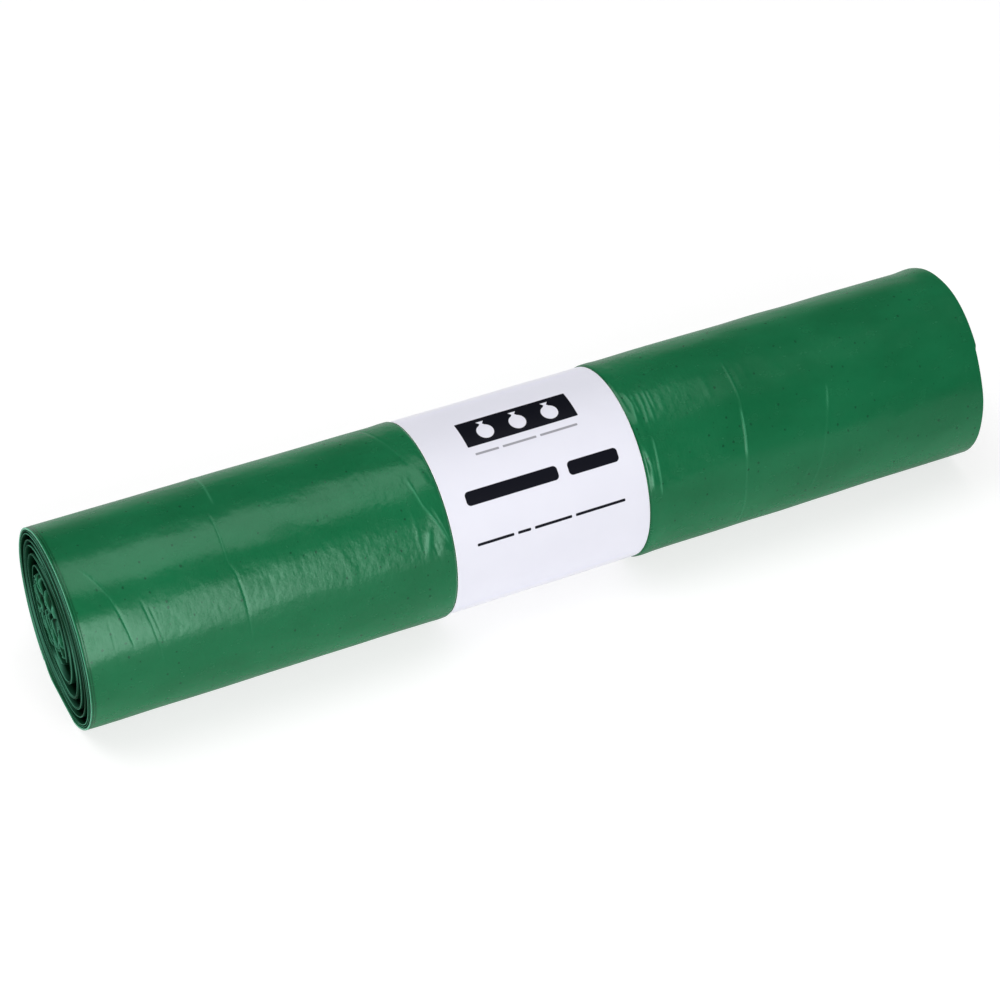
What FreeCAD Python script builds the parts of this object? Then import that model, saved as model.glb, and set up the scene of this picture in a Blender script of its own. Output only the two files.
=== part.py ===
import FreeCAD, Part

import math
import os

import Sketcher

# A roll of bin bags held by a paper band. The bags are one long strip of thin film, folded to the
# roll's length and wound up with no core. The roll lies along X on the small flat that its own
# weight presses into it, and the origin is on the floor under its middle. Angles go round the
# roll's axis from the back, over the top, to the front.

SIZES = {
    # The roll as it lies on the floor
    "roll_length": 350.0,
    "roll_diameter": 72.4,
    "flat_depth": 2.2,
    "flat_spread": 22.0,
    # The wound strip: each turn stands for a pack of many plies of film
    "turn_pitch": 5.0,
    "turn_gap": 0.7,
    "film_edge": 0.6,
    "edge_gap": 0.2,
    "edge_angle": -58.0,
    "edge_dip": 7.0,
    "middle_radius": 1.6,
    # The coil is a little flattened, and its middle lies off towards the back
    "coil_offset": 9.0,
    "coil_squash": 0.22,
    "coil_tilt": 45.0,
    # The paper band, glued where it laps, and the shallow waist that it pulls into the film
    "band_width": 75.6,
    "band_shift": -1.9,
    "paper_thickness": 0.1,
    "band_clearance": 0.05,
    "lap_width": 18.0,
    "lap_angle": -40.0,
    "waist_depth": 0.35,
    "waist_margin": 0.4,
    # How far the tools that trim the film reach past it
    "tool_reach": 5.0,
}

ARCS_A_TURN = 16

FULL_TURN = 360

AXIS_HEIGHT = "Sizes.roll_diameter / 2 - Sizes.flat_depth"


def make_sheet(doc):
    """The spreadsheet of driving sizes, in millimetres and degrees."""
    sheet = doc.addObject("Spreadsheet::Sheet", "Sizes")
    for row, (alias, value) in enumerate(SIZES.items(), start=1):
        sheet.set(f"A{row}", alias)
        sheet.set(f"B{row}", str(value))
        sheet.setAlias(f"B{row}", alias)
    doc.recompute()
    return sheet


def bind(item, expressions):
    """Binds an object's sizes and place to expressions on the sheet's cells."""
    for name, expression in expressions.items():
        item.setExpression(name, expression)


def coil_point(sheet, radius, angle):
    """A point of the coil's section, in Y and Z about the roll's axis.

    A circle of that radius is stretched along the coil's tilt, squeezed across it and moved
    towards the back, all in proportion to how far in it lies. Its bottom is pressed up by a
    bell-shaped share of the radius that is largest straight below the axis.
    """
    inward = 1 - 2 * radius / sheet.roll_diameter
    from_below = (angle + 270) % FULL_TURN - 180
    pressing = math.exp(-((from_below / sheet.flat_spread) ** 2))
    pressed = radius * (1 - 2 * sheet.flat_depth / sheet.roll_diameter * pressing)
    tilt = math.radians(sheet.coil_tilt)
    turned = math.radians(angle) - tilt
    along = pressed * (1 + sheet.coil_squash * inward) * math.cos(turned)
    across = pressed * (1 - sheet.coil_squash * inward) * math.sin(turned)
    y = along * math.cos(tilt) - across * math.sin(tilt) + sheet.coil_offset * inward
    z = along * math.sin(tilt) + across * math.cos(tilt)
    return FreeCAD.Vector(0, y, z)


def coil_spiral(sheet, first_radius, turns, widening):
    """A spiral inwards from the film's free edge, as arcs that each pass through three coil
    points. Their radius loses one pitch a turn, and gains the widening evenly over the first."""
    count = math.ceil(turns * ARCS_A_TURN)
    points = []
    for step in range(2 * count + 1):
        wound = turns * step / (2 * count)
        radius = first_radius - sheet.turn_pitch * wound + widening * min(wound, 1)
        points.append(coil_point(sheet, radius, sheet.edge_angle + FULL_TURN * wound))
    return [Part.Arc(*points[2 * number:2 * number + 3]) for number in range(count)]


def outer_arc(sheet):
    """The roll's round outer face, from the free edge to where the film dips under that edge."""
    radius = sheet.roll_diameter / 2
    first = sheet.edge_angle
    last = first + FULL_TURN - sheet.edge_dip
    points = []
    for angle in (first, (first + last) / 2, last):
        turned = math.radians(angle)
        points.append(FreeCAD.Vector(0, radius * math.cos(turned), radius * math.sin(turned)))
    return Part.Arc(*points)


def make_wound_film(doc, sheet):
    """The wound strip as one solid. Its section is a disc with a spiral slot, the gap between the
    turns, which opens beside the free edge and ends near the middle of the coil."""
    outer = outer_arc(sheet)
    edge_inside = sheet.roll_diameter / 2 - sheet.film_edge
    under_edge = edge_inside - sheet.edge_gap
    turns = (under_edge - sheet.middle_radius) / sheet.turn_pitch
    slot_inner = coil_spiral(sheet, under_edge, turns, 0)
    slot_outer = coil_spiral(sheet, edge_inside, turns, sheet.turn_gap - sheet.edge_gap)
    dip = Part.LineSegment(outer.EndPoint, slot_inner[0].StartPoint)
    slot_end = Part.LineSegment(slot_inner[-1].EndPoint, slot_outer[-1].EndPoint)
    free_edge = Part.LineSegment(slot_outer[0].StartPoint, outer.StartPoint)
    curves = [outer, dip, *slot_inner, slot_end, *slot_outer[::-1], free_edge]
    section = Part.Face(Part.Wire([curve.toShape() for curve in curves]))
    film = doc.addObject("Part::Feature", "wound_film")
    film.Shape = section.extrude(FreeCAD.Vector(sheet.roll_length, 0, 0))
    axis_height = sheet.roll_diameter / 2 - sheet.flat_depth
    film.Placement.Base = FreeCAD.Vector(-sheet.roll_length / 2, 0, axis_height)
    return film


def make_box(doc, name, length, bottom):
    """A box over the roll, centred on its axis, whose bottom is at a height above the floor."""
    box = doc.addObject("Part::Box", name)
    bind(box, {
        "Length": length,
        "Width": "Sizes.roll_diameter + 2 * Sizes.tool_reach",
        "Height": "Sizes.roll_diameter + Sizes.tool_reach",
        "Placement.Base.x": f"Sizes.band_shift - ({length}) / 2",
        "Placement.Base.y": "-Sizes.roll_diameter / 2 - Sizes.tool_reach",
        "Placement.Base.z": bottom,
    })
    return box


def make_cylinder(doc, name, radius, length):
    """A cylinder on the roll's axis, centred on the band."""
    cylinder = doc.addObject("Part::Cylinder", name)
    cylinder.Placement.Rotation = FreeCAD.Rotation(FreeCAD.Vector(0, 1, 0), 90)
    bind(cylinder, {
        "Radius": radius,
        "Height": length,
        "Placement.Base.x": f"Sizes.band_shift - ({length}) / 2",
        "Placement.Base.z": AXIS_HEIGHT,
    })
    return cylinder


def combine(doc, kind, name, base, tool):
    """A boolean of two objects: a cut or a common part."""
    result = doc.addObject(kind, name)
    result.Base = base
    result.Tool = tool
    return result


def make_bag_roll(doc, sheet):
    """The wound film, cut level where it lies on the floor and cut back to a shallow waist, with
    a flat of its own below, where the band sits."""
    film = make_wound_film(doc, sheet)
    above_floor = make_box(doc, "above_floor", "2 * Sizes.roll_length", "0")
    lying = combine(doc, "Part::Common", "lying_film", film, above_floor)
    waist_length = "Sizes.band_width + 2 * Sizes.waist_margin"
    core_length = waist_length + " + 2 * Sizes.tool_reach"
    blank = make_cylinder(doc, "waist_blank", "Sizes.roll_diameter / 2 + Sizes.tool_reach", waist_length)
    core = make_cylinder(doc, "waist_core", "Sizes.roll_diameter / 2 - Sizes.waist_depth", core_length)
    above_waist = make_box(doc, "above_waist", core_length, "Sizes.waist_depth")
    kept = combine(doc, "Part::Common", "kept_core", core, above_waist)
    ring = combine(doc, "Part::Cut", "waist_ring", blank, kept)
    roll = combine(doc, "Part::Cut", "bag_roll", lying, ring)
    roll.Label = "bag_roll"
    return roll


def origin_plane(body, role):
    """One of the body's own origin planes, found by its role."""
    return next(plane for plane in body.Origin.OriginFeatures if plane.Role == role)


def add_round_outline(sketch, name, radius, level):
    """A closed outline about the sketch's origin: an arc of the given radius, and a level line
    that cuts off its bottom. Radius and level are (expression, first value) pairs."""
    half = math.sqrt(radius[1] ** 2 - level[1] ** 2)
    below = math.atan2(level[1], half)
    circle = Part.Circle(FreeCAD.Vector(), FreeCAD.Vector(0, 0, 1), radius[1])
    arc = sketch.addGeometry(Part.ArcOfCircle(circle, below, math.pi - below))
    left = FreeCAD.Vector(-half, level[1], 0)
    right = FreeCAD.Vector(half, level[1], 0)
    line = sketch.addGeometry(Part.LineSegment(left, right))
    start, end, centre = 1, 2, 3
    sketch.addConstraint(Sketcher.Constraint("Coincident", arc, centre, -1, 1))
    sketch.addConstraint(Sketcher.Constraint("Coincident", arc, end, line, start))
    sketch.addConstraint(Sketcher.Constraint("Coincident", arc, start, line, end))
    sketch.addConstraint(Sketcher.Constraint("Horizontal", line))
    sizes = {
        f"{name}_radius": (Sketcher.Constraint("Radius", arc, radius[1]), radius[0]),
        f"{name}_level": (Sketcher.Constraint("DistanceY", line, start, -1, 1, -level[1]), f"-({level[0]})"),
    }
    for size, (constraint, expression) in sizes.items():
        number = sketch.addConstraint(constraint)
        sketch.renameConstraint(number, size)
        sketch.setExpression(f"Constraints.{size}", expression)


def make_paper_band(doc, sheet):
    """The paper band: one strip round the waist, with the double thickness of its glued lap."""
    body = doc.addObject("PartDesign::Body", "paper_band")
    body.Label = "paper_band"
    bind(body, {"Placement.Base.x": "Sizes.band_shift", "Placement.Base.z": AXIS_HEIGHT})
    inside = "Sizes.roll_diameter / 2 - Sizes.waist_depth + Sizes.band_clearance"
    outside = inside + " + Sizes.paper_thickness"
    inside_radius = sheet.roll_diameter / 2 - sheet.waist_depth + sheet.band_clearance
    outside_radius = inside_radius + sheet.paper_thickness
    section = body.newObject("Sketcher::SketchObject", "band_section")
    section.AttachmentSupport = (origin_plane(body, "YZ_Plane"), [""])
    section.MapMode = "FlatFace"
    add_round_outline(
        section, "inside", (inside, inside_radius),
        ("Sizes.flat_depth - (" + inside + ")", sheet.flat_depth - inside_radius),
    )
    add_round_outline(
        section, "outside", (outside, outside_radius),
        ("Sizes.flat_depth - (" + outside + ")", sheet.flat_depth - outside_radius),
    )
    ring = body.newObject("PartDesign::Pad", "band_ring")
    ring.Profile = section
    ring.SideType = "Symmetric"
    ring.setExpression("Length", "Sizes.band_width")
    doc.recompute()
    add_lap(body, outside, outside_radius, sheet)
    return body


def add_lap(body, outside, outside_radius, sheet):
    """The lap: a second thickness of paper on the ring's outside, turned about the roll's axis by
    half the lap's width each way."""
    section = body.newObject("Sketcher::SketchObject", "lap_section")
    section.AttachmentSupport = (origin_plane(body, "XZ_Plane"), [""])
    section.MapMode = "FlatFace"
    section.AttachmentOffset = FreeCAD.Placement(
        FreeCAD.Vector(), FreeCAD.Rotation(FreeCAD.Vector(1, 0, 0), 90 - sheet.lap_angle)
    )
    half = sheet.band_width / 2
    low = outside_radius - sheet.paper_thickness / 2
    high = outside_radius + sheet.paper_thickness
    corners = [(-half, low), (half, low), (half, high), (-half, high)]
    lines = []
    for first, second in zip(corners, corners[1:] + corners[:1]):
        ends = [FreeCAD.Vector(*first, 0), FreeCAD.Vector(*second, 0)]
        lines.append(section.addGeometry(Part.LineSegment(*ends)))
    bottom, right, top, left = lines
    start, end = 1, 2
    for first, second in zip(lines, lines[1:] + lines[:1]):
        section.addConstraint(Sketcher.Constraint("Coincident", first, end, second, start))
    section.addConstraint(Sketcher.Constraint("Horizontal", top))
    for line in (right, left):
        section.addConstraint(Sketcher.Constraint("Vertical", line))
    section.addConstraint(Sketcher.Constraint("Symmetric", bottom, start, bottom, end, -2))
    sizes = {
        "lap_length": (Sketcher.Constraint("DistanceX", bottom, start, bottom, end, 2 * half),
                       "Sizes.band_width"),
        "lap_inside": (Sketcher.Constraint("DistanceY", -1, 1, bottom, start, low),
                       outside + " - Sizes.paper_thickness / 2"),
        "lap_outside": (Sketcher.Constraint("DistanceY", -1, 1, top, start, high),
                        outside + " + Sizes.paper_thickness"),
    }
    for size, (constraint, expression) in sizes.items():
        number = section.addConstraint(constraint)
        section.renameConstraint(number, size)
        section.setExpression(f"Constraints.{size}", expression)
    lap = body.newObject("PartDesign::Revolution", "band_lap")
    lap.Profile = section
    lap.ReferenceAxis = (section, ["H_Axis"])
    lap.Midplane = True
    lap.setExpression("Angle", f"Sizes.lap_width / ({outside}) * 180 / pi")
    body.Tip = lap


def check_and_write(doc, pieces):
    """Stops on any failed object or bad shape, and writes each piece to its own file."""
    for item in doc.Objects:
        if "Invalid" in item.State or "Error" in item.State:
            raise RuntimeError(f"{item.Name} failed: {item.State}")
    for piece in pieces:
        if piece.Shape.isNull() or not piece.Shape.isValid():
            raise RuntimeError(f"{piece.Label} has a bad shape")
    os.makedirs("parts", exist_ok=True)
    for piece in pieces:
        piece.Shape.exportStep(f"parts/{piece.Label}.step")
        print(piece.Label, len(piece.Shape.Solids), round(piece.Shape.Volume, 1), piece.Shape.BoundBox)


def main():
    doc = FreeCAD.newDocument("bin_bag_roll")
    sheet = make_sheet(doc)
    pieces = [make_bag_roll(doc, sheet), make_paper_band(doc, sheet)]
    doc.recompute()
    check_and_write(doc, pieces)


main()
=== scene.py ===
import math

import bpy
import numpy as np
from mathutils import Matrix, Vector


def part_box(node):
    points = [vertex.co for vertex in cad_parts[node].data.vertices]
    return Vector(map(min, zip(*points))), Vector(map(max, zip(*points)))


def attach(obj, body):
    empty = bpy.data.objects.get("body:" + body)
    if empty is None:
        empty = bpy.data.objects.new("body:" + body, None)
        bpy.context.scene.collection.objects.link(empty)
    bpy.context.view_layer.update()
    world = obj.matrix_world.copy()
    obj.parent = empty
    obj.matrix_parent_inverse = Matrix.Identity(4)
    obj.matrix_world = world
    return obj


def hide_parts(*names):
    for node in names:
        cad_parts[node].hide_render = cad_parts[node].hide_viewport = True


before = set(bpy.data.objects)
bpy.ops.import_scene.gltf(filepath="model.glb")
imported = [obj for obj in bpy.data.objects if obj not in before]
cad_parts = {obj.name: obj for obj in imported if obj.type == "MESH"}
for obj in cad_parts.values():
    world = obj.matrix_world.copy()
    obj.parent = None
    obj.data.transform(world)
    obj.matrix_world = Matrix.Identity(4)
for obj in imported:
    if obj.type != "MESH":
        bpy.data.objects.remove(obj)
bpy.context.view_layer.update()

# Lengths are in millimetres and angles in degrees until a mesh is made. Angles go round the roll's
# axis from the back, over the top, to the front, as in the CAD. An angle wound is counted the same
# way from the film's free edge, or from the paper's start.
METRES = 0.001
TURN = 360

roll_low, roll_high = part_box("bag_roll")
band_low, band_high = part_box("paper_band")
HALF_LENGTH = roll_high.x / METRES
RADIUS = (roll_high.y - roll_low.y) / 2 / METRES
AXIS_HEIGHT = roll_high.z / METRES - RADIUS
BAND_LEFT = band_low.x / METRES
BAND_RIGHT = band_high.x / METRES
BAND_RADIUS = (band_high.y - band_low.y) / 2 / METRES

# The roll's flat: how far to each side of its bottom the coil is pressed up, and how much of their
# distance is left between layers that are laid on the floor
FLAT_SPREAD = 22.0
FLAT_SHARE = 0.9

# The coil's section: how far its middle lies towards the back and down, how far it is squeezed,
# the angle of its long axis, and how far and how sharply its two tips are drawn out
COIL_OFFSET = 11.0
COIL_DROP = 2.0
COIL_SQUASH = 0.22
COIL_TILT = 47.0
COIL_POINT = 0.10
COIL_SHARPNESS = 8

# The outermost film: the angle of its free edge, its thickness, how far it stands off the solid,
# the stretch in which it dips under its own free edge, the room left there, and where it ends
FREE_EDGE = -58.0
SKIN = 0.7
SKIN_LIFT = 0.05
SKIN_DIP = 8.0
SKIN_ROOM = 0.08
SKIN_END = 366.0

# Its rims: the roll's even end, where the film starts to be stretched to reach past it, and that
# reach as a length and the cosine and sine of the first and then of the second wave round the roll.
# The right rim has a notch, with a steep side and a slow one, and flares towards the top.
EVEN_END = HALF_LENGTH - 0.5
STRETCH_START = 0.6 * EVEN_END
LEFT_REACH = (0.3, 0.1, -0.05, -0.15, 0.0)
RIGHT_REACH = (0.5, -0.5, 0.1, -1.1, 0.37)
NOTCH = 0.55
NOTCH_STEEP = (135, 138)
NOTCH_SLOW = (142, 170)
FLARE = 0.5
FLARE_LENGTH = 6.0
FLARE_ANGLE = 70.0
FLARE_SPREAD = 45.0
RIM_BULGE = 0.3
RIM_POINTS = 7
# How strongly a painted highlight lightens the left rim and the right rim
LEFT_RIM_HIGHLIGHT = 0.8
RIGHT_RIM_HIGHLIGHT = 0.25

# How far the film is pulled in under the band, how much it swells beside it, and how far from the
# band's edge it swells most
WAIST = 0.65
SWELL = 0.18
SWELL_PLACE = 3.0

# The furrows beside the left rim where two plies end: how far in each lies and its strength, which
# also sets the painted shade in it, and the width and depth of both
PLY_ENDS = [(0.85, 1.0), (1.65, 0.8)]
PLY_END_WIDTH = 0.24
PLY_END_DEPTH = 0.1

# The turns inside it at each end, from the outside in: how thick each pack of plies is, and the gap
# that follows it
PACKS = [
    (0.8, 0.6), (0.8, 0.7), (0.9, 1.1), (1.5, 1.2), (1.6, 2.2), (2.7, 2.6), (1.8, 2.1), (1.2, 1.5),
]

# Their walls: how far in the first lies, how deep they stand, the step between their rows, how much
# the packs and gaps shrink at the coil's tips, the angles wound over which they loosen instead, and
# the most plies drawn on a pack
TURNS_INSET = SKIN + 0.5
PACK_DEPTH = 14.0
TURNS_STEP = 1.7
TIP_SHRINKAGE = 0.45
LOOSENING = (1000, 1500)
PLIES = 4

# Their rims: how far back from the roll's end they lie, how much further in the middle, how uneven
# they are, also where they crumple, how far forward they may stand, and how far down their edges
# and the next points of the walls lie
RIM_SETBACK = 0.3
RIM_RECESS = 0.25
RIM_LOOSENESS = 0.12
RIM_RAGGEDNESS = 0.2
RIM_FORWARD = 0.9
RIM_EDGE_DROP = 2.2
RIM_WALL_DROP = 4.5

# The crumpled middle of each end: its radius and the width of its edge, the depth of its pits, the
# width of its folds, and how much its folds, its lumps and its finest creases rise
CRUMPLE_RADIUS = 14.5
CRUMPLE_EDGE = 1.5
CRUMPLE_DEPTH = 5.0
FOLD_WIDTH = 3.4
FOLD_RISE = 0.8
LUMP_RISE = 0.25
FINE_RISE = 0.08


def smooth(values, start, end):
    """A smooth step from 0 at start to 1 at end: three squares less two cubes of the share."""
    share = np.clip((values - start) / (end - start), 0, 1)
    return share * share * (3 - 2 * share)


def bell(values, width):
    """A bell curve, 1 at zero."""
    return np.exp(-((values / width) ** 2))


def waves(x, angle, seed, count, wavelength, rounds):
    """Gentle unevenness of the film: the sum of count cosines over length and angle, divided by the
    root of count. Wavelengths along the roll are about the one given, and each wave goes a whole
    number of times round it, up to rounds."""
    draw = np.random.default_rng(seed)
    total = np.zeros(np.broadcast(x, angle).shape)
    for _ in range(count):
        along = 2 * math.pi / (wavelength * draw.uniform(0.6, 1.8)) * draw.choice([-1, 1])
        around = draw.integers(0, rounds + 1)
        total = total + np.cos(along * x + around * np.radians(angle) + draw.uniform(0, 2 * math.pi))
    return total / math.sqrt(count)


def crossing_waves(u, v, seed, count, wavelength):
    """Unevenness in two lengths: the sum of count cosines in directions of their own, divided by
    the root of count, with wavelengths about the one given."""
    draw = np.random.default_rng(seed)
    total = np.zeros(np.broadcast(u, v).shape)
    for _ in range(count):
        number = 2 * math.pi / (wavelength * draw.uniform(0.7, 1.5))
        heading = draw.uniform(0, math.pi)
        along = number * (u * math.cos(heading) + v * math.sin(heading))
        total = total + np.cos(along + draw.uniform(0, 2 * math.pi))
    return total / math.sqrt(count)


def on_roll(x, radius, angle):
    """Points in metres at places along the roll, radii and angles about its axis. What would lie
    below the floor is laid on it, as the soft roll lies on its flat."""
    turned = np.radians(angle)
    y = radius * np.cos(turned)
    laid = np.maximum(RADIUS - radius, 0) * FLAT_SHARE
    z = np.maximum(AXIS_HEIGHT + radius * np.sin(turned), laid)
    return np.stack(np.broadcast_arrays(x, y, z), -1) * METRES


def on_coil(x, radius, angle):
    """Points in metres on the flattened coil. A circle of that radius is stretched along the coil's
    tilt and squeezed across it, drawn out to a soft point at both tips, moved towards the back, and
    pressed up at the bottom, all in proportion to how far in it lies."""
    inward = 1 - radius / RADIUS
    turned = np.radians(angle - COIL_TILT)
    from_below = (angle + 270) % TURN - 180
    pressed = radius * (1 - (1 - AXIS_HEIGHT / RADIUS) * bell(from_below, FLAT_SPREAD))
    tip = np.abs(np.cos(turned)) ** COIL_SHARPNESS
    pointed = pressed * (1 + COIL_POINT * inward * tip)
    along = pointed * (1 + COIL_SQUASH * inward) * np.cos(turned)
    across = pointed * (1 - COIL_SQUASH * inward) * np.sin(turned)
    tilt = math.radians(COIL_TILT)
    y = along * math.cos(tilt) - across * math.sin(tilt) + COIL_OFFSET * inward
    z = along * math.sin(tilt) + across * math.cos(tilt) + AXIS_HEIGHT - COIL_DROP * inward
    return np.stack(np.broadcast_arrays(x, y, z), -1) * METRES


def volume(points, faces):
    """Six times the signed volume of a closed mesh of quads: each quad's two triangles, as the
    product of one corner with the cross product of the other two."""
    a, b, c, d = (points[faces[:, corner]] for corner in range(4))
    return np.sum(a * np.cross(b, c)) + np.sum(a * np.cross(c, d))


def ring_quads(rows, columns):
    """The quads of a grid of points, numbered row by row, whose columns go all the way round: each
    joins two rows and two columns."""
    place = np.arange(rows * columns).reshape(rows, columns)
    ahead = np.roll(place, -1, axis=1)
    return np.stack([place[:-1], place[1:], ahead[1:], ahead[:-1]], -1).reshape(-1, 4)


def add_object(name, data):
    """A new object with that data, in the scene."""
    item = bpy.data.objects.new(name, data)
    bpy.context.scene.collection.objects.link(item)
    return item


# How many millimetres a unit of the UV map stands for
SHEET_UNIT = 100


def flat_sheet(x, angle):
    """Each point's place on the film or paper laid flat: along the roll, and round it."""
    return np.stack(np.broadcast_arrays(x, np.radians(angle) * RADIUS), -1)


def strip_mesh(name, points, flat, attributes):
    """A piece from a grid of points: rows along the strip, columns round its closed section. A face
    closes each end. flat gives each point's place on the flat sheet, which the UV map keeps."""
    rows, columns = points.shape[:2]
    quads = ring_quads(rows, columns)
    first = np.arange(columns)
    last = first[::-1] + (rows - 1) * columns
    corners = points.reshape(-1, 3)
    if volume(corners, quads) < 0:
        quads, first, last = quads[:, ::-1], first[::-1], last[::-1]
    mesh = bpy.data.meshes.new(name)
    mesh.from_pydata(corners.tolist(), [], quads.tolist() + [first.tolist(), last.tolist()])
    loops = np.empty(len(mesh.loops), dtype=np.int32)
    mesh.loops.foreach_get("vertex_index", loops)
    sheet = mesh.uv_layers.new(name="flat_sheet")
    places = flat.reshape(-1, 2)[loops] / SHEET_UNIT
    sheet.data.foreach_set("uv", places.astype(np.float32).ravel())
    for attribute, values in attributes.items():
        layer = mesh.attributes.new(attribute, "FLOAT", "POINT")
        values = np.broadcast_to(values, (rows, columns)).astype(np.float32)
        layer.data.foreach_set("value", values.ravel())
    mesh.shade_smooth()
    return add_object(name, mesh)


# Creases in the outermost film. Each follows points of (place along the roll, angle), and has a width,
# a height (below zero for a groove) and how much the stretched film whitens along it, which also
# paints a highlight there. They fade out over some degrees, and whiten, with that painted highlight,
# over a share of their width.
CREASES = [
    ([(-114.0, 40), (-114.6, 75), (-115.4, 95)], 0.55, 0.12, 0.45),
    ([(-118.8, 97), (-118.2, 108), (-118.7, 130), (-117.2, 137), (-116.4, 152), (-116.2, 176)],
     0.42, -0.13, 0.15),
    ([(-168.4, 108), (-164.8, 117), (-162.8, 123), (-160.8, 130), (-159.2, 140), (-158.0, 150),
      (-156.8, 161)], 0.4, -0.15, 0.3),
    ([(-167.0, 110), (-163.6, 118), (-161.7, 123.5), (-159.6, 130.5)], 0.36, -0.06, 0.2),
    ([(-151.4, 134), (-149.6, 150), (-148.4, 165), (-148.0, 174)], 0.4, -0.10, 0.1),
    ([(-163.9, 139), (-163.7, 150), (-163.6, 162)], 0.35, -0.05, 0.0),
    ([(-149.4, 138), (-147.6, 153), (-146.4, 165)], 0.38, -0.07, 0.05),
    ([(-107.6, 140), (-106.0, 152), (-107.2, 167)], 0.8, -0.07, 0.0),
    ([(-83.2, 133), (-78.8, 147), (-77.2, 155), (-79.2, 167), (-80.4, 178)], 1.2, 0.10, 0.0),
    ([(-49.6, 113), (-47.3, 131), (-44.3, 141), (-41.0, 157)], 0.45, 0.15, 0.7),
    ([(-44.9, 131), (-42.6, 143), (-40.7, 155)], 0.4, 0.14, 0.5),
    ([(-46.8, 142), (-48.4, 151), (-50.4, 161)], 0.9, 0.24, 0.35),
    ([(-47.4, 151), (-46.0, 160), (-44.6, 170)], 0.5, -0.14, 0.0),
    ([(-52.8, 58), (-49.6, 85), (-46.0, 108)], 0.55, -0.16, 0.15),
    ([(-50.6, 112), (-49.0, 121), (-46.6, 135)], 0.4, -0.10, 0.1),
    ([(-52.6, 128), (-51.6, 142), (-52.4, 158)], 0.6, 0.08, 0.1),
    ([(-66.4, 186), (-66.2, 199)], 0.9, 0.08, 0.0),
    ([(45.8, 100), (45.4, 112), (44.6, 126)], 0.5, 0.20, 0.4),
    ([(43.6, 101), (43.2, 113), (42.0, 127)], 0.45, 0.14, 0.3),
    ([(41.8, 130), (41.3, 146), (40.6, 167)], 0.42, 0.20, 0.9),
    ([(38.4, 99), (39.6, 110), (38.0, 124)], 0.5, 0.18, 0.5),
    ([(41.2, 100), (40.6, 109), (40.9, 119)], 0.45, 0.15, 0.4),
    ([(37.2, 134), (38.5, 147), (37.6, 163)], 0.5, 0.16, 0.5),
    ([(39.6, 137), (39.0, 150), (39.4, 160)], 0.4, -0.10, 0.0),
    ([(47.4, 101), (46.9, 119)], 0.45, 0.12, 0.2),
    ([(50.2, 104), (49.6, 122)], 0.8, 0.10, 0.1),
    ([(68.6, 100), (68.2, 122)], 0.9, 0.12, 0.1),
    ([(78.8, 98), (78.5, 124), (77.2, 138), (75.8, 155), (74.4, 176), (74.8, 215)], 0.42, 0.09, 0.2),
    ([(77.6, 129), (76.7, 144), (75.4, 160)], 0.5, 0.12, 0.8),
    ([(81.8, 100), (81.4, 120)], 0.9, 0.08, 0.0),
    ([(84.6, 100), (84.2, 119)], 1.0, 0.08, 0.0),
    ([(113.0, 131), (110.2, 147), (107.8, 160), (105.6, 176), (103.0, 191), (101.4, 199)],
     0.4, 0.07, 0.15),
    ([(113.0, 130), (110.2, 147)], 0.4, 0.08, 0.6),
    ([(101.4, 175), (98.2, 188)], 0.8, 0.06, 0.1),
]
CREASE_FADE = 6.0
WHITENED_HIGHLIGHT_SHARE = 0.6


def creases(x, angle):
    """Height of all the creases, and how whitened they are, which also paints a highlight along them:
    each is a bell curve across its line, whose place along the roll is interpolated at each angle, and
    fades out towards its two ends."""
    height = np.zeros(np.broadcast(x, angle).shape)
    whitened_and_highlight = np.zeros(height.shape)
    for line, width, rise, whitening_and_highlight in CREASES:
        places, angles = zip(*line)
        across = x - np.interp(angle, angles, places)
        strength = smooth(angle, angles[0], angles[0] + CREASE_FADE)
        strength = strength * (1 - smooth(angle, angles[-1] - CREASE_FADE, angles[-1]))
        height += rise * strength * bell(across, width)
        whitened_and_highlight += whitening_and_highlight * strength * bell(across, WHITENED_HIGHLIGHT_SHARE * width)
    return height, np.clip(whitened_and_highlight, 0, 1)


def beside_band(x):
    """How far to the side of the band a place along the roll lies, below zero under the band."""
    return np.maximum(BAND_LEFT - x, x - BAND_RIGHT)


def waist(x):
    """How far the film lies in under the band, below zero: a smooth step at the band's edges."""
    return -WAIST * (1 - smooth(beside_band(x), -0.3, 0.9))


def skin_relief(x, angle):
    """How far the outermost film stands off the roll's even surface, apart from its waist: slow waves,
    a soft swell and short ripples on both sides of the band, the creases, and the furrows where two
    plies end. Also how whitened it is, which also paints a highlight on the creases, and how free it
    is of painted shade, which darkens the furrows and a thin line beside the band's edges."""
    beside = beside_band(x)
    slow = 0.10 * waves(x, angle, seed=3, count=9, wavelength=110, rounds=4)
    slow = slow + 0.055 * waves(x, angle, seed=4, count=14, wavelength=34, rounds=15)
    slow = slow * smooth(beside, -1.5, 3)
    swell = SWELL * bell(beside - SWELL_PLACE, SWELL_PLACE)
    ripple = 0.08 * waves(x, angle, seed=5, count=10, wavelength=4.5, rounds=20)
    ripple = ripple * bell(np.maximum(beside - 1, 0), 7) * smooth(beside, 0, 2)
    ripple = ripple * smooth(angle, 60, 100) * (1 - smooth(angle, 165, 200))
    height, whitened_and_highlight = creases(x, angle)
    uneven = 0.12 * waves(0, angle, seed=6, count=6, wavelength=50, rounds=7)
    inward = HALF_LENGTH + x + uneven
    furrows = sum(strength * bell(inward - place, PLY_END_WIDTH) for place, strength in PLY_ENDS)
    # Painted shade: darker in the furrows where two plies end and in a thin line beside the band's
    # edges.
    painted_shade = 0.7 * furrows + 0.3 * bell(beside - 0.1, 0.35)
    relief = slow + swell + ripple + height - PLY_END_DEPTH * furrows
    return relief, whitened_and_highlight, np.clip(1 - painted_shade, 0, 1)


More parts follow.
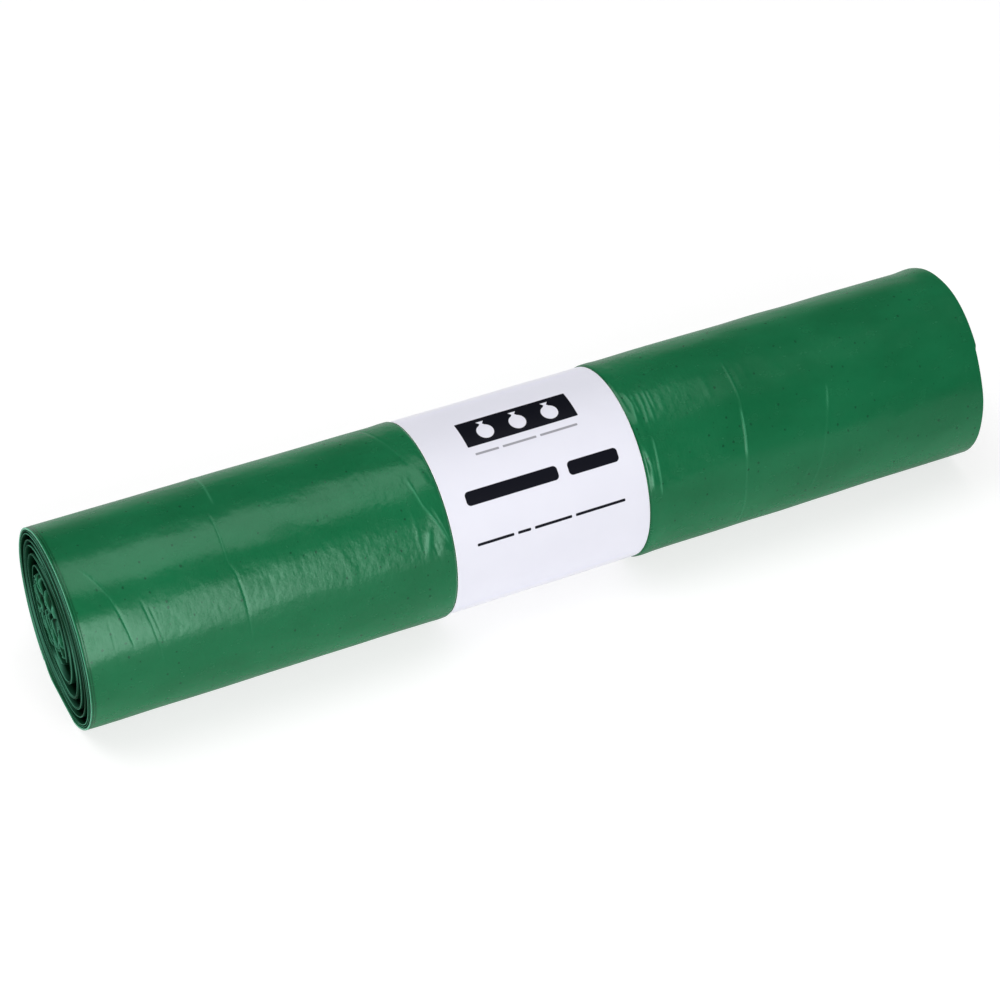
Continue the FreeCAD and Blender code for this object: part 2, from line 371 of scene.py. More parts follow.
def spaced(start, end, step):
    """Even places from start to end, at most a step apart, without the last."""
    return np.linspace(start, end, max(2, math.ceil(abs(end - start) / step)), endpoint=False)


def rows_round(stretches):
    """Angles wound from 0, as a column. Each stretch is given by its end and the step in it."""
    start = 0
    parts = []
    for end, step in stretches:
        parts.append(spaced(start, end, step))
        start = end
    return np.concatenate([*parts, [start]])[:, None]


# The skin's grid: its first columns' places in from each rim, how far in from the left rim the
# others start, the stretches where they are fine enough for creases as (start, end, step), and
# their step elsewhere. Its rows are closer together on the side that has the creases.
RIM_STEPS = np.array([0, 0.12, 0.3, 0.45, 0.6, 0.75, 0.95, 1.1, 1.25, 1.5, 1.9])
RIM_ZONE = 3.0
FINE_STRETCHES = [(-168, -146, 0.32), (-146, -120, 1.0), (-120, -113.5, 0.36), (-113.5, -54, 1.1),
                  (-54, -42, 0.45), (-42, -39.3, 0.25), (35.3, 49, 0.35), (49, 73, 1.0),
                  (73, 80, 0.35), (80, 99, 1.0), (99, 114, 0.4)]
WIDE_STEP = 2.4
SKIN_ROWS = [(95, 3.0), (290, 1.3), (SKIN_END, 2.4)]


def skin_places():
    """Places along the roll for the skin's columns: close together by the rims and on the creased
    stretches."""
    places = [RIM_STEPS - EVEN_END]
    reached = RIM_ZONE - EVEN_END
    for start, end, step in FINE_STRETCHES:
        if start > reached:
            places.append(spaced(reached, start, WIDE_STEP))
        places.append(spaced(start, end, step))
        reached = end
    places.append(spaced(reached, EVEN_END - RIM_STEPS[-1], WIDE_STEP))
    places.append(EVEN_END - RIM_STEPS[::-1])
    return np.concatenate(places)


def rim_reach(side, angle):
    """How far beyond the roll's even end its rim stands at each angle, as the film wasn't folded
    quite evenly: a length and two waves round the roll, less the notch in the right rim."""
    turned = np.radians(angle)
    even, cosine, sine, second_cosine, second_sine = LEFT_REACH if side < 0 else RIGHT_REACH
    reach = even + cosine * np.cos(turned) + sine * np.sin(turned)
    reach = reach + second_cosine * np.cos(2 * turned) + second_sine * np.sin(2 * turned)
    if side < 0:
        return reach
    round_once = angle % TURN
    return reach - NOTCH * smooth(round_once, *NOTCH_STEEP) * (1 - smooth(round_once, *NOTCH_SLOW))


def make_skin():
    """The outermost film, all along the roll, from its free edge round and under it again. Each row
    is a closed section in the plane through the axis: the outer face, the right rim, the inner
    face and the left rim. The rims are half rounds."""
    wound = rows_round(SKIN_ROWS)
    angle = wound + FREE_EDGE
    places = skin_places()[None, :]
    beyond = np.where(places > 0, rim_reach(1, angle), rim_reach(-1, angle))
    x = places * (1 + beyond / EVEN_END * smooth(np.abs(places), STRETCH_START, EVEN_END))
    dip = (SKIN + SKIN_ROOM) * smooth(wound, TURN - SKIN_DIP, TURN)
    base = RADIUS + SKIN_LIFT - dip
    relief, whitened_and_highlight, free_of_painted_shade = skin_relief(x, angle)
    # By its free edge, and where that edge lies on it, the film is smooth.
    relief = relief * smooth(wound, 0, 12) * (1 - smooth(wound, 345, TURN - SKIN_DIP))
    flare = FLARE * smooth(x, HALF_LENGTH - FLARE_LENGTH, HALF_LENGTH)
    flare = flare * bell(angle - FLARE_ANGLE, FLARE_SPREAD)
    outer = base + waist(x) + relief + flare
    half_round = np.linspace(0, math.pi, RIM_POINTS)[None, :]
    across = SKIN / 2 * (1 - np.cos(half_round))
    bulge = RIM_BULGE * np.sin(half_round) ** 0.7
    right_x = x[:, -1:] + bulge
    right_radius = outer[:, -1:] - across
    left_x = x[:, :1] - bulge[:, ::-1]
    left_radius = outer[:, :1] - across[:, ::-1]
    inner_places = np.array([[0.9, 0.3, -0.3, -0.9]]) * HALF_LENGTH
    inner_x = np.broadcast_to(inner_places, (len(wound), 4))
    inner_radius = np.broadcast_to(base - SKIN - 0.02, (len(wound), 4))
    all_x = np.concatenate([x, right_x, inner_x, left_x], 1)
    all_radius = np.concatenate([outer, right_radius, inner_radius, left_radius], 1)
    columns = x.shape[1]
    # A painted highlight lightens the rims, the left more than the right. The creases' whitening also
    # paints a highlight, and painted shade darkens the furrows and beside the band.
    rim = np.zeros(all_x.shape)
    rim[:, columns + 1:columns + RIM_POINTS - 1] = RIGHT_RIM_HIGHLIGHT
    rim[:, 1 - RIM_POINTS:-1] = LEFT_RIM_HIGHLIGHT
    pale = np.zeros(all_x.shape)
    pale[:, :columns] = whitened_and_highlight
    lit = np.ones(all_x.shape)
    lit[:, :columns] = free_of_painted_shade
    shades = {"rim": rim, "pale": pale, "unshaded_by_paint": lit}
    points = on_roll(all_x, all_radius, angle)
    skin = strip_mesh("outer_film", points, flat_sheet(all_x, angle), shades)
    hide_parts("bag_roll")
    return skin


def make_turns(side):
    """The turns inside the skin at one end: a spiral wall whose outer face steps in by each pack's
    thickness and gap. At the coil's two tips the packs and gaps shrink, until the turns loosen
    further in. The rim has a rounded ridge for each ply, as a sine's arches across it, and near
    the middle the wall crumples. Each row is a closed section: up the outer face, over the rim and
    down the inner face."""
    thickness, gap = (np.array(column) for column in zip(*PACKS))
    offset = np.concatenate([[0], np.cumsum(thickness + gap)])[:-1] + TURNS_INSET
    turn = np.arange(1, len(PACKS) + 1)
    wound = np.arange(SKIN_END, TURN * len(PACKS) - 100, TURNS_STEP)[:, None]
    angle = wound + FREE_EDGE
    seed = 20 + side
    depth_in, thick = (np.interp(wound / TURN, turn, values) for values in (offset, thickness))
    tip = np.abs(np.cos(np.radians(angle - COIL_TILT))) ** 4
    loosened = smooth(wound, *LOOSENING)
    shrunk = 1 - TIP_SHRINKAGE * tip * (1 - loosened)
    outer = RADIUS - depth_in * shrunk
    thick = thick * shrunk
    crumpled = smooth(CRUMPLE_RADIUS + 2 - outer, 0, 6)

    uneven = 0.10 * waves(0, wound / 3.1, seed, count=8, wavelength=50, rounds=9)
    thinned = thick * np.clip(1 - 0.7 * loosened * tip + uneven, 0.2, 1.08)
    wavy = 0.06 * thick * waves(0, wound / 5.3, seed + 2, count=8, wavelength=50, rounds=11)
    bent = 1.1 * crumpled * waves(0, wound, seed + 4, count=7, wavelength=50, rounds=8)
    middle = outer - thinned / 2 + wavy + bent

    recess = RIM_RECESS * smooth(RADIUS - outer, 3, 20)
    loose = waves(0, wound / 3.7, seed + 6, count=9, wavelength=50, rounds=8)
    loose = RIM_LOOSENESS * loose * smooth(RADIUS - outer, 1, 5)
    ragged = waves(0, wound, seed + 8, count=8, wavelength=50, rounds=14)
    ragged = RIM_RAGGEDNESS * ragged * crumpled
    rim_x = HALF_LENGTH - RIM_SETBACK + rim_reach(side, angle) * smooth(outer, 10, RADIUS)
    rim_x = rim_x - recess + np.minimum(loose + ragged, RIM_FORWARD + recess)

    # Each ply takes its unevenness from a place of its own in the waves.
    share = np.linspace(0, 1, 4 * PLIES + 1)[None, :]
    plies = 1 + (PLIES - 1) * smooth(thick, 1.0, 2.6)
    ridge = np.abs(np.sin(math.pi * plies * share))
    ply = np.floor(share * plies * 0.999) * 17.3
    standing = waves(ply, wound / 2.3, seed + 10, count=8, wavelength=30, rounds=9)
    standing = np.clip(0.75 + 0.5 * standing, 0.1, 1.5)
    furrow = 0.1 + 0.08 * (thick - 0.7)
    edge = np.abs(2 * share - 1) ** 14
    sideways = waves(ply, wound / 2, seed + 12, count=6, wavelength=30, rounds=14)
    rim_radius = middle + thinned * (0.5 - share) + 0.05 * thick * sideways
    rim_place = rim_x - furrow * (1 - ridge * standing) - RIM_EDGE_DROP * edge

    deep = np.full(wound.shape, HALF_LENGTH - PACK_DEPTH)
    near = rim_x - RIM_WALL_DROP
    start, end = rim_radius[:, :1], rim_radius[:, -1:]
    all_radius = np.maximum(np.concatenate([start, start, rim_radius, end, end], 1), 0.3)
    all_x = side * np.concatenate([deep, near, rim_place, near, deep], 1)
    # A painted highlight lightens the top of each ply's ridge. Painted shade darkens the furrows
    # between the ridges and the walls, and more on the turns further in.
    rim = np.zeros(all_x.shape)
    rim[:, 2:-2] = ridge ** (1.5 + 2 * (plies - 1)) * np.clip(standing, 0.2, 1) ** 2 * (1 - edge)
    free_of_painted_shade = np.zeros(all_x.shape)
    free_of_painted_shade[:, 2:-2] = ridge ** (0.7 + 0.3 * plies) * (1 - edge) * (0.28 + 0.68 * smooth(outer, 31, 35))
    free_of_painted_shade[:, [1, -2]] = 0.02
    name = "left_turns" if side < 0 else "right_turns"
    shades = {"rim": rim, "pale": 0.0, "unshaded_by_paint": free_of_painted_shade}
    points = on_coil(all_x, all_radius, angle)
    return strip_mesh(name, points, flat_sheet(all_x, angle), shades)


def make_heart():
    """The film inside the turns: a closed rod that lies deep behind them and comes forward in the
    middle of each end, where it is crumpled. The crumples are folds along the coil's long axis,
    the height of a sine's rounded arches over the length across it, bent and raised unevenly, and
    pits where the lumps are lowest. Each row is a ring, from one end's middle to the other's."""
    deep = HALF_LENGTH - PACK_DEPTH + 1.5
    inside = RADIUS - SKIN - 1.3
    rings = np.concatenate([np.linspace(0, CRUMPLE_RADIUS + 2, 72), [24, inside]])
    belt = np.linspace(-deep, deep, 8)[1:-1]
    profile = np.concatenate([rings, np.full(len(belt), inside), rings[::-1]])[:, None]
    side = np.repeat([-1, 0, 1], [len(rings), len(belt), len(rings)])[:, None]
    angle = np.arange(0, TURN, 2.0)[None, :]
    radius = np.maximum(profile + 0 * angle, 0.001)
    u = radius * np.cos(np.radians(angle - COIL_TILT))
    v = radius * np.sin(np.radians(angle - COIL_TILT))

    # Each end takes its unevenness from a place of its own in the waves.
    bent = v + 1.5 * crossing_waves(u + 25 * side, v, seed=42, count=9, wavelength=13)
    bent = bent + 0.5 * crossing_waves(u, v, seed=43, count=9, wavelength=4.5)
    folds = 1 - np.abs(np.sin(math.pi * bent / FOLD_WIDTH)) ** 0.7
    lumps = crossing_waves(u + 40 * side, v, seed=44, count=10, wavelength=9)
    fine = crossing_waves(u - 30 * side, v, seed=45, count=12, wavelength=2.6)
    pit = smooth(-lumps, 0.3, 0.8)
    shown = 1 - smooth(radius, CRUMPLE_RADIUS - CRUMPLE_EDGE, CRUMPLE_RADIUS + CRUMPLE_EDGE)
    forward = PACK_DEPTH - 2.3 + FOLD_RISE * folds + LUMP_RISE * lumps + FINE_RISE * fine
    raised = (forward - CRUMPLE_DEPTH * pit) * shown
    x = side * (deep + raised)
    x[len(rings):len(rings) + len(belt)] = belt[:, None]
    # A painted highlight lightens the crests of the folds at both ends. Painted shade darkens between
    # the folds, where the lumps are low, in the pits, and outside the crumpled middle.
    rim = np.where(side == 0, 0, folds ** 2.5 * (1 - pit))
    free_of_painted_shade = np.clip(0.02 + 0.64 * folds + 0.35 * lumps, 0, 1) * shown * (1 - pit)
    flat = np.stack([x, v + 0 * x], -1)
    shades = {"rim": rim, "pale": 0.0, "unshaded_by_paint": free_of_painted_shade}
    return strip_mesh("inner_film", on_coil(x, radius, angle), flat, shades)


# The paper band: its thickness and the room under it and its lap, the angle at which it starts, the
# angle of its lap, its columns' places in from each edge, and the rest of its columns and its rows
PAPER = 0.12
PAPER_ROOM = 0.04
LAP_START = -54.0
LAP = 28.0
BAND_EDGE = np.array([0.2, 0.45])
BAND_MARGIN = 0.8
BAND_COLUMNS = 48
BAND_ROWS = [(90, 2.0), (290, 1.2), (TURN + LAP, 2.0)]


def make_band():
    """The paper band: a strip once round the waist whose end laps over its start. Each row is a
    closed section: outer face, right edge, inner face, left edge."""
    wound = rows_round(BAND_ROWS)
    angle = wound + LAP_START
    even = np.linspace(BAND_LEFT + BAND_MARGIN, BAND_RIGHT - BAND_MARGIN, BAND_COLUMNS)
    places = np.concatenate([BAND_LEFT + BAND_EDGE, even, BAND_RIGHT - BAND_EDGE[::-1]])[None, :]
    slow = 0.05 * waves(places, angle, seed=51, count=8, wavelength=60, rounds=5)
    slow = slow + 0.012 * waves(places, angle, seed=52, count=8, wavelength=14, rounds=16)
    slow = slow * smooth(wound, 0, 30) * (1 - smooth(wound, 320, 345))
    lapped = (PAPER + PAPER_ROOM) * smooth(wound, 330, 362)
    outer = BAND_RADIUS - PAPER - PAPER_ROOM + lapped + slow
    edge = 0.12 * waves(0, angle, seed=53, count=6, wavelength=50, rounds=6)
    x = places + edge * np.where(places > 0, 0.5, -0.5)
    all_x = np.concatenate([x, x[:, ::-1]], 1)
    all_radius = np.concatenate([outer, outer[:, ::-1] - PAPER], 1)
    # A painted highlight whitens the cut edges.
    cut_highlight = np.zeros(all_x.shape)
    columns = x.shape[1]
    cut_highlight[:, [0, columns - 1, columns, -1]] = 1
    points = on_roll(all_x, all_radius, angle)
    band = strip_mesh("band", points, flat_sheet(all_x, angle), {"rim": cut_highlight})
    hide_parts("paper_band")
    return band


class Value:
    """One output of a node, on which plain arithmetic adds Math nodes."""

    def __init__(self, tree, node, output=0):
        self.tree = tree
        self.node = node
        self.output = output

    def other(self, output):
        """Another output of the same node."""
        return Value(self.tree, self.node, output)

    def math(self, operation, *others):
        inputs = dict(enumerate((self, *others)))
        return self.tree.add("ShaderNodeMath", {"operation": operation}, inputs)

    def __add__(self, other):
        return self.math("ADD", other)

    def __sub__(self, other):
        return self.math("SUBTRACT", other)

    def __mul__(self, other):
        return self.math("MULTIPLY", other)

    def __truediv__(self, other):
        return self.math("DIVIDE", other)

    def __pow__(self, other):
        return self.math("POWER", other)

    def __rsub__(self, other):
        return (self * -1) + other

    __radd__ = __add__

    def __abs__(self):
        return self.math("ABSOLUTE")

    def above(self, low, high):
        """A smooth step from 0 at low to 1 at high."""
        return self.tree.add(
            "ShaderNodeMapRange", {"interpolation_type": "SMOOTHSTEP"},
            {"Value": self, "From Min": low, "From Max": high},
        )

    def larger(self, other):
        return self.math("MAXIMUM", other)


class Finish:
    """The nodes of a material, or of the world."""

    def __init__(self, owner):
        self.owner = owner
        owner.use_nodes = True
        self.tree = owner.node_tree
        self.tree.nodes.clear()

    def add(self, kind, settings=None, sockets=None, output=0):
        """Adds a node, sets its settings, then each socket's value or link, and returns an output."""
        node = self.tree.nodes.new(kind)
        for setting, value in (settings or {}).items():
            setattr(node, setting, value)
        for socket, value in (sockets or {}).items():
            if isinstance(value, Value):
                self.tree.links.new(value.node.outputs[value.output], node.inputs[socket])
            else:
                node.inputs[socket].default_value = value
        return Value(self, node, output)

    def mix(self, share, first, second):
        """A colour between two: the first where share is 0, the second where it is 1."""
        return self.add(
            "ShaderNodeMix", {"data_type": "RGBA"}, {"Factor": share, 6: first, 7: second}, output=2
        )

    def scale(self, vector, factor):
        """A vector or colour times a number."""
        return self.add("ShaderNodeVectorMath", {"operation": "SCALE"}, {0: vector, "Scale": factor})

    def noise(self, place, detail):
        """Noise from 0 to 1 at a place, with grains about a unit wide and that many finer layers."""
        return self.add("ShaderNodeTexNoise", None, {"Vector": place, "Scale": 1.0, "Detail": detail})

    def bump(self, height, strength, distance):
        """The surface's direction with small relief: a height of 1 stands for the distance."""
        return self.add(
            "ShaderNodeBump", None, {"Height": height, "Strength": strength, "Distance": distance}
        )

    def edge_on(self):
        """0 where the surface faces the viewer, rising to 1 where it is seen edge on."""
        return self.add("ShaderNodeLayerWeight", None, {"Blend": 0.5}, output=1)

    def finish(self, kind, surface):
        """Ends the nodes with an output of that kind."""
        self.add(kind, None, {"Surface": surface})
        return self.owner


def flat_place(finish, along=1.0, around=1.0):
    """The place on the flat sheet in millimetres, each way divided by a length of its own."""
    sheet = finish.add("ShaderNodeUVMap", {"uv_map": "flat_sheet"})
    scales = (SHEET_UNIT / along, SHEET_UNIT / around, 1)
    return finish.add("ShaderNodeVectorMath", {"operation": "MULTIPLY"}, {0: sheet, 1: scales})


def split(finish, place):
    """The two measures of a place on the sheet."""
    parts = finish.add("ShaderNodeSeparateXYZ", None, {"Vector": place})
    return parts, parts.other(1)


def attribute(finish, name):
    """What a mesh's points hold under that name."""
    return finish.add("ShaderNodeAttribute", {"attribute_name": name}, output=2)


# The film's colours: the two of its clouds, where it is stretched, which also paints a highlight on
# the creases, the painted highlight at its rims and ply ridges, in its specks, the painted shade deep
# between the turns, and that of its gloss
FILM_DEEP = (0.0040, 0.103, 0.036, 1)
FILM_LIGHT = (0.0066, 0.129, 0.048, 1)
FILM_WHITENED_HIGHLIGHT = (0.055, 0.28, 0.145, 1)
FILM_RIM_HIGHLIGHT = (0.13, 0.46, 0.30, 1)
FILM_SPECK = (0.002, 0.045, 0.018, 1)
FILM_PAINTED_SHADE = (0.0006, 0.014, 0.005, 1)
FILM_GLOSS = (0.62, 1.0, 0.80, 1)


def film_finish(name, gloss, polish, edge_on_light):
    """Green recycled film: cloudy colour, dark specks, whitened creases that also carry a painted
    highlight, a painted highlight on the rims and ply ridges, a satin gloss broken by fine ripples
    that run round the roll and by crinkles. Painted shade darkens it where it lies deep between the
    turns. gloss is how strongly the face reflects, polish takes away from its roughness, and glow is
    how much painted light lightens the film where it is seen edge on."""
    film = Finish(bpy.data.materials.new(name))
    cloud = film.noise(flat_place(film, 34, 22), 3).above(0.3, 0.7)
    mottle = film.noise(flat_place(film, 2.2, 4.5), 2)
    colour = film.mix(cloud * 0.75 + mottle * 0.25, FILM_DEEP, FILM_LIGHT)
    # Painted shade: darker deep between the turns, in furrows and beside the band.
    colour = film.mix(attribute(film, "unshaded_by_paint"), FILM_PAINTED_SHADE, colour)
    # Whitened creases, which also paint a highlight.
    colour = film.mix(attribute(film, "pale") * 0.8, colour, FILM_WHITENED_HIGHLIGHT)
    # Painted highlight on the rims, the ply ridges and the fold crests.
    colour = film.mix(attribute(film, "rim") * 0.9, colour, FILM_RIM_HIGHLIGHT)

    # A speck lies in the middle of some cells, the larger the higher the cell's chance is.
    cells = film.add(
        "ShaderNodeTexVoronoi", {"feature": "F1", "voronoi_dimensions": "2D"},
        {"Vector": flat_place(film, 4.2, 5), "Scale": 1.0},
    )
    chance = film.add("ShaderNodeSeparateXYZ", None, {"Vector": cells.other("Color")})
    ragged = cells + film.noise(flat_place(film, 0.5, 0.5), 1) * 0.14
    specks = 1 - (ragged - chance ** 4 * 0.10).above(0.06, 0.10)
    colour = film.mix(specks * 0.8, colour, FILM_SPECK)
    # Painted light: lighter where the film is seen edge on.
    colour = film.scale(colour, film.edge_on() ** 2.5 * edge_on_light + 1)

    # The film is looser in the middle of the left part and tight to the right of the band.
    along, _ = split(film, flat_place(film))
    loose = 1.1 - (along * -1).above(60, 150) * 0.4 - along.above(48, 80) * 0.85
    ripples = film.noise(flat_place(film, 1.2, 9), 1)
    crinkles = film.noise(flat_place(film, 2.4, 3.4), 2)
    sag = film.noise(flat_place(film, 16, 9), 1)
    height = (ripples * 0.3 + crinkles * 1.5) * loose + sag * 3.0
    haze = film.noise(flat_place(film, 8, 4.5), 3)
    surface = film.add("ShaderNodeBsdfPrincipled", None, {
        "Base Color": colour, "Roughness": haze * 0.2 + mottle * 0.05 + (0.50 - polish),
        "Normal": film.bump(height, 0.6, 0.00016),
        "Specular IOR Level": gloss, "Specular Tint": FILM_GLOSS,
    })
    return film.finish("ShaderNodeOutputMaterial", surface)


# The paper's colours: the two of its clouds, the painted highlight on its cut edges, and the two inks
PAPER_WHITE = (0.685, 0.685, 0.755, 1)
PAPER_GREY = (0.65, 0.65, 0.725, 1)
PAPER_CUT_HIGHLIGHT = (0.96, 0.96, 0.97, 1)
INK = (0.004, 0.0045, 0.009, 1)
GREY_INK = (0.16, 0.16, 0.18, 1)

# The band's print: the dark field's place along the roll, angle and size, the places of the sacks
# on it, and each row of bars as an angle, the bars' height and where each starts and ends
FIELD_PLACE = -2.0
FIELD_ANGLE = 96.5
FIELD_SIZE = (42.8, 12.2)
SACK_PLACES = (-14.5, -2.0, 10.5)
GREY_BARS = (111.5, 0.9, [(-22, -13), (-11.5, 1.5), (3, 17.5)])
THICK_BARS = (135, 5.2, [(-31.5, 4.0), (8.0, 27.5)])
THIN_BARS = (161.8, 1.1, [(-31, -17), (-15.5, -10.5), (-9, 5.5), (7, 26.5)])
PRINT_BLUR = 0.08


def box_mask(along, around, middle, size, corner):
    """1 inside a rectangle with rounded corners: the distance to the rectangle shrunk by the
    corner's radius is at most that radius."""
    out_x = (abs(along - middle[0]) - (size[0] / 2 - corner)).larger(0)
    out_y = (abs(around - middle[1]) - (size[1] / 2 - corner)).larger(0)
    distance = (out_x ** 2 + out_y ** 2) ** 0.5
    return 1 - distance.above(corner - PRINT_BLUR, corner + PRINT_BLUR)


def sack_mask(along, around, middle):
    """1 inside a plain tied sack: a round body, 6.2 mm wide and 6.6 mm high, with a small flared
    neck above its tie."""
    beside = along - middle[0]
    body_x, body_y = beside / 3.1, (around - middle[1] - 1.0) / 3.3
    body = 1 - (body_x ** 2 + body_y ** 2).above(0.94, 1.06)
    neck_y = (middle[1] - 2.6) - around
    neck_width = 0.5 + abs(neck_y - 0.3) * 0.75
    neck = 1 - (abs(beside) - neck_width).above(-PRINT_BLUR, PRINT_BLUR)
    neck = neck * (1 - abs(neck_y).above(1.5, 1.65))
    return body.larger(neck)


def either(masks):
    """1 inside any of the masks."""
    joined = masks[0]
    for mask in masks[1:]:
        joined = joined.larger(mask)
    return joined


def bars(along, around, angle, height, spans):
    """1 inside plain rounded bars side by side at one angle."""
    return either([
        box_mask(along, around, ((start + end) / 2, arc(angle)), (end - start, height), height * 0.3)
        for start, end in spans
    ])


def arc(angle):
    """How far round the flat sheet an angle lies."""
    return math.radians(angle) * RADIUS


def paper_finish():
    """Smooth pale paper with plain printed shapes: a dark field with three sacks, and bars. Painted
    light lightens it where it is seen edge on, and a painted highlight whitens its edges.
    """
    paper = Finish(bpy.data.materials.new("band_paper"))
    along, around = split(paper, flat_place(paper))
    level = arc(FIELD_ANGLE)
    field = box_mask(along, around, (FIELD_PLACE, level), FIELD_SIZE, 0.3)
    sacks = either([sack_mask(along, around, (place, level)) for place in SACK_PLACES])
    dark_bars = either([bars(along, around, *THICK_BARS), bars(along, around, *THIN_BARS)])
    ink = (field * (1 - sacks)).larger(dark_bars)
    fibre = paper.noise(flat_place(paper, 0.5, 0.5), 3)
    cloud = paper.noise(flat_place(paper, 18, 18), 2)
    white = paper.mix(cloud.above(0.3, 0.7) * 0.3 + fibre * 0.1, PAPER_WHITE, PAPER_GREY)
    # Painted light: lighter where the paper is seen edge on.
    white = paper.scale(white, paper.edge_on() ** 2 * 0.6 + 1)
    # Painted highlight on the cut edges.
    white = paper.mix(attribute(paper, "rim"), white, PAPER_CUT_HIGHLIGHT)
    colour = paper.mix(bars(along, around, *GREY_BARS) * 0.75, white, GREY_INK)
    colour = paper.mix(ink, colour, INK)
    surface = paper.add("ShaderNodeBsdfPrincipled", None, {
        "Base Color": colour, "Roughness": 0.52 - ink * 0.12,
        "Normal": paper.bump(fibre * 0.4 + cloud, 0.12, 0.0001), "Specular IOR Level": 0.12,
    })
    return paper.finish("ShaderNodeOutputMaterial", surface)


# The floor: its grey, how much of its own light the camera sees, how much more of it far off, and
# the shares of it that reflections and soft light see
FLOOR_GREY = (0.42, 0.42, 0.42, 1)
FLOOR_LIFT = 0.67
FLOOR_FAR_LIFT = 0.4
FLOOR_GLOSSY = 0.13
FLOOR_DIFFUSE = 0.3
WHITE = (1, 1, 1, 1)


def floor_finish():
    """A white floor that keeps the roll's soft shadow. It is grey, with some light of its own that
    the camera sees in full, so that it is white where nothing shades it."""
    floor = Finish(bpy.data.materials.new("white_floor"))
    path = floor.add("ShaderNodeLightPath")
    seen = path.larger(path.other("Is Glossy Ray") * FLOOR_GLOSSY)
    seen = seen.larger(path.other("Is Transmission Ray"))
    seen = seen + path.other("Is Diffuse Ray") * FLOOR_DIFFUSE
    place = floor.add("ShaderNodeTexCoord", output=3)
    distance = floor.add("ShaderNodeVectorMath", {"operation": "LENGTH"}, {0: place}, output=1)
    strength = seen * (distance.above(0.5, 3.0) * FLOOR_FAR_LIFT + FLOOR_LIFT)
    lit = floor.add("ShaderNodeBsdfDiffuse", None, {"Color": FLOOR_GREY})
    lift = floor.add("ShaderNodeEmission", None, {"Color": WHITE, "Strength": strength})
    surface = floor.add("ShaderNodeAddShader", None, {0: lit, 1: lift})
    return floor.finish("ShaderNodeOutputMaterial", surface)


def make_floor():
    """The floor: a disc of plain rings round the origin, in metres."""
    rings = np.array([0.0005, 0.6, 1.5, 4.0, 9.0])[:, None]
    turned = np.radians(np.arange(0, TURN, 7.5))[None, :]
    points = np.stack(np.broadcast_arrays(rings * np.cos(turned), rings * np.sin(turned), 0.0), -1)
    rows, columns = points.shape[:2]
    faces = ring_quads(rows, columns).tolist() + [list(range(columns))]
    mesh = bpy.data.meshes.new("floor")
    mesh.from_pydata(points.reshape(-1, 3).tolist(), [], faces)
    mesh.materials.append(floor_finish())
    add_object("floor", mesh)


# The studio's lamps, in metres: name, place, target, width and height, and radiance. A softbox
# overhead and a brighter one in front each have a dimmer wing on the right, so that their long
# reflections fade out past the band. The broad fill lamp hangs on the left behind the roll, clear
# of the reflections that the camera sees.
LAMPS = [
    ("overhead", (0.10, 0.0, 1.03), (0.10, 0.0, 0.0), (0.50, 0.68), 1.9),
    ("overhead_wing", (0.42, 0.0, 1.03), (0.42, 0.0, 0.0), (0.14, 0.68), 0.5),
    ("front", (-0.20, -0.75, 0.34), (-0.20, 0.0, 0.34), (0.50, 0.66), 5.0),
    ("front_wing", (0.11, -0.75, 0.34), (0.11, 0.0, 0.34), (0.12, 0.66), 1.9),
    ("fill", (-1.3, 0.7, 2.3), (0.0, 0.0, 0.03), (1.9, 1.9), 2.4),
]


def turn_to(item, target):
    """Turns a lamp or the camera to a target, level."""
    aim = Vector(target) - item.location
    item.rotation_euler = aim.to_track_quat("-Z", "Y").to_euler()


def make_lamps():
    """The rectangular lamps, each with an even radiance all over its face."""
    for name, place, target, size, radiance in LAMPS:
        lamp = bpy.data.lights.new(name, "AREA")
        lamp.shape = "RECTANGLE"
        lamp.size, lamp.size_y = size
        lamp.energy = radiance * size[0] * size[1] * math.pi
        softbox = add_object(name, lamp)
        softbox.location = place
        softbox.visible_camera = False
        turn_to(softbox, target)


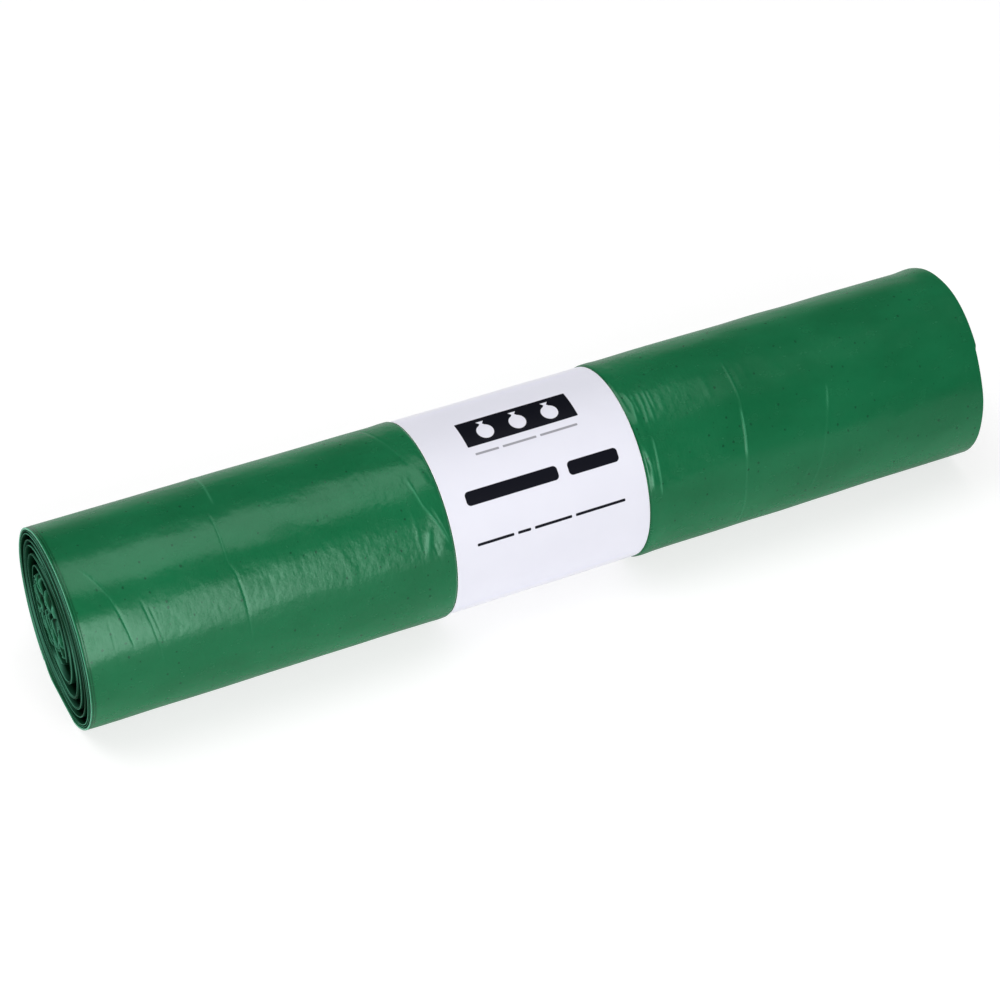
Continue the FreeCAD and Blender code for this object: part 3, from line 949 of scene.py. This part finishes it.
# The room's light: at its far edge, near the horizon and behind the roll, and elsewhere, and what
# soft light gets besides
ROOM_EDGE = 0.36
ROOM_LEVEL = 0.06
ROOM_FILL = 0.28


def make_world():
    """The room: white where the camera looks, and for light and reflections a plain room, pale
    near the horizon and dimmer overhead."""
    world = bpy.data.worlds.new("studio")
    bpy.context.scene.world = world
    room = Finish(world)
    path = room.add("ShaderNodeLightPath")
    direction = room.add("ShaderNodeTexCoord")
    parts = room.add("ShaderNodeSeparateXYZ", None, {"Vector": direction})
    low = 1 - abs(parts.other(2)).above(0.0, 0.4)
    behind = parts.other(1).above(-0.1, 0.6)
    level = ROOM_LEVEL + low * behind * (ROOM_EDGE - ROOM_LEVEL)
    level = level + path.other("Is Diffuse Ray") * ROOM_FILL
    strength = level * (1 - path) + path
    light = room.add("ShaderNodeBackground", None, {"Color": WHITE, "Strength": strength})
    room.finish("ShaderNodeOutputWorld", light)


# The photograph's viewpoint, from the roll's outlines: where the camera stands and what it looks
# at in metres, and its lens and sensor in millimetres
CAMERA_PLACE = (-0.36659, -0.75940, 0.73955)
CAMERA_TARGET = (-0.00638, 0.0, 0.03097)
CAMERA_LENS = 109.8
CAMERA_SENSOR = 36


def make_camera():
    """The camera, level, at the photograph's viewpoint."""
    camera = bpy.data.cameras.new("camera")
    camera.lens = CAMERA_LENS
    camera.sensor_width = CAMERA_SENSOR
    camera.clip_start, camera.clip_end = 0.01, 50
    holder = add_object("camera", camera)
    holder.location = CAMERA_PLACE
    turn_to(holder, CAMERA_TARGET)
    bpy.context.scene.camera = holder


make_camera()
skin = make_skin()
skin.data.materials.append(film_finish("green_film", gloss=0.5, polish=0.38, edge_on_light=1.6))
inside = [make_turns(-1), make_turns(1), make_heart()]
inside_film = film_finish("green_film_edges", gloss=0.03, polish=0.15, edge_on_light=0.5)
for piece in inside:
    piece.data.materials.append(inside_film)
for piece in [skin, *inside]:
    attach(piece, "root")
band = make_band()
band.data.materials.append(paper_finish())
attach(band, "root")
make_floor()
make_world()
make_lamps()
bpy.context.scene.view_settings.view_transform = "Standard"
